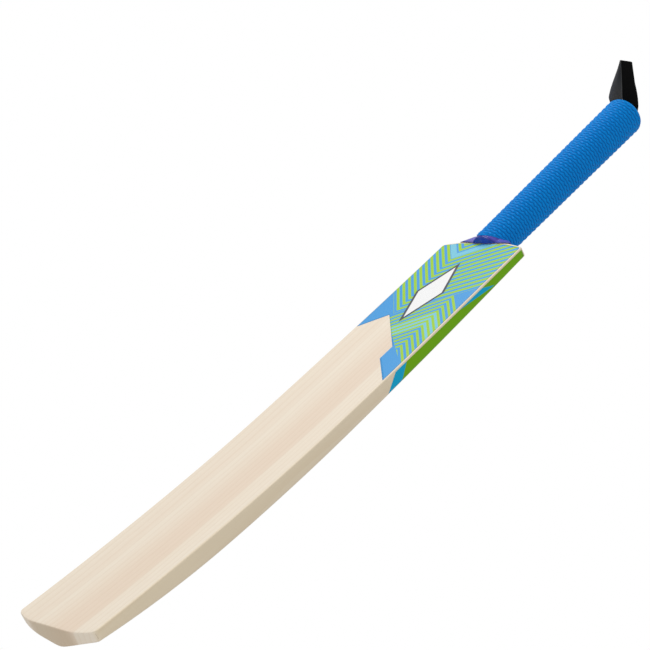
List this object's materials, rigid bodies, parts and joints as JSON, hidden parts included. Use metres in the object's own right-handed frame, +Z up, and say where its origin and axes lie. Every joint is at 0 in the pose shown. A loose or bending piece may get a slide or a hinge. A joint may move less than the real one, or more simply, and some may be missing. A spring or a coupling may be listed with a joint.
{
  "type": "cricket bat",
  "caption": "Short-handle cricket bat: bowed willow blade with a spine, spliced cane handle in a ribbed rubber grip, and a webbing hanging strap that swings on the handle's end.",
  "frame": {"origin": "middle of the flat on the toe, on which the bat stands upright", "axes": "+Z up the blade towards the handle's end, -Y out of the hitting face, +X towards the blade's right edge when looking at the back"},
  "size_m": [0.108, 0.1055, 0.8849],
  "materials": {
    "willow": "smooth oiled willow",
    "cane": "glued cane",
    "strip_rubber": "matt",
    "twine": "waxed thread",
    "neck_tape": "glossy",
    "grip_rubber": "raised scales, matt",
    "webbing": "woven",
    "staple_wire": "drawn wire",
    "face_sticker": "printed film in blue and lime stripes",
    "edge_sticker": "printed film in green and cyan"
  },
  "bodies": {
    "bat": {"blade": "willow", "cane_front_left": "cane", "cane_front_centre": "cane", "cane_front_right": "cane", "cane_middle_left": "cane", "cane_middle_centre": "cane", "cane_middle_right": "cane", "cane_back_left": "cane", "cane_back_centre": "cane", "cane_back_right": "cane", "rubber_strip_front": "strip_rubber", "rubber_strip_back": "strip_rubber", "twine_binding": "twine", "neck_tape": "neck_tape", "rubber_grip": "grip_rubber", "strap_foot": "webbing", "strap_staples": "staple_wire", "face_label": "face_sticker", "right_edge_label": "edge_sticker", "left_edge_label": "edge_sticker", "back_label": "face_sticker"},
    "strap": {"strap_loop": "webbing"}
  },
  "joints": [
    {"name": "strap_swing", "type": "hinge", "parent": "bat", "child": "strap", "pos_m": [0, -0.00838, 0.85], "axis": [-1, 0, 0], "range_deg": [0, 110]}
  ]
}
